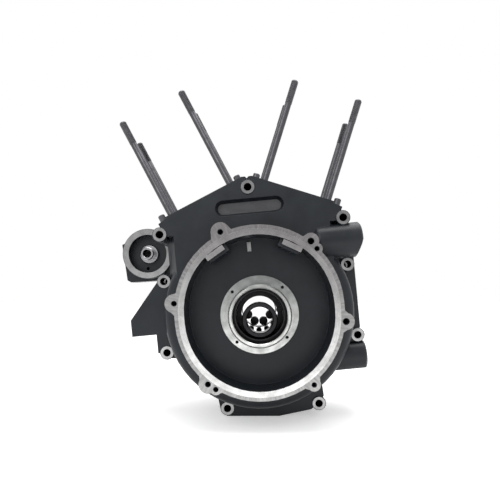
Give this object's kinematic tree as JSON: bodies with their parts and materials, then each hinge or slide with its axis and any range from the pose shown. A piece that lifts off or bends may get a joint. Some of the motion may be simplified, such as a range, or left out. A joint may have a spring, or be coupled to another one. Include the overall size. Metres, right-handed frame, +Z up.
{
  "type": "engine crankcase",
  "caption": "Bare V-twin engine crankcase, two bolted castings with cylinder studs, open alternator cavity, gear chest and filter pad.",
  "frame": {"origin": "on the floor, under the middle of the whole piece's box; the crank axis is 26.4 mm behind it, 3.8 mm to its right and 115.5 mm above it", "axes": "+X to the rear of the engine, +Y to its right side, +Z up as the case stands on its flat, with the V's bisector leaning 5.4 degrees to the front"},
  "size_m": [0.2942, 0.1794, 0.3735],
  "materials": {
    "cast_black": "satin black paint on cast aluminium, machined faces bare",
    "black_oxide": "black oxide on steel",
    "bearing_steel": "ground bearing steel",
    "bright_steel": "plated steel",
    "steel": "plain steel"
  },
  "bodies": {
    "root": {"left_case": "cast_black", "right_case": "cast_black", "stud_front_outer_left": "black_oxide", "stud_front_outer_right": "black_oxide", "stud_front_inner_left": "black_oxide", "stud_front_inner_right": "black_oxide", "stud_rear_inner_left": "black_oxide", "stud_rear_inner_right": "black_oxide", "stud_rear_outer_left": "black_oxide", "stud_rear_outer_right": "black_oxide", "dowel_front_inner": "black_oxide", "dowel_front_outer": "black_oxide", "dowel_rear_inner": "black_oxide", "dowel_rear_outer": "black_oxide", "joint_dowel_front": "steel", "joint_dowel_rear": "steel", "drain_plug": "steel", "left_outer_race": "bearing_steel", "left_inner_race": "bearing_steel", "left_retaining_ring": "bearing_steel", "right_outer_race": "bearing_steel", "right_roller_sleeve": "bearing_steel", "cam_needle_bearing": "bearing_steel", "right_roller_01": "bearing_steel", "right_roller_02": "bearing_steel", "right_roller_03": "bearing_steel", "right_roller_04": "bearing_steel", "right_roller_05": "bearing_steel", "right_roller_06": "bearing_steel", "right_roller_07": "bearing_steel", "right_roller_08": "bearing_steel", "right_roller_09": "bearing_steel", "right_roller_10": "bearing_steel", "right_roller_11": "bearing_steel", "right_roller_12": "bearing_steel", "right_roller_13": "bearing_steel", "right_roller_14": "bearing_steel", "right_roller_15": "bearing_steel", "right_roller_16": "bearing_steel", "loose_roller_1": "bearing_steel", "loose_roller_2": "bearing_steel", "loose_roller_3": "bearing_steel", "loose_roller_4": "bearing_steel", "filter_nipple": "bright_steel"}
  },
  "joints": []
}
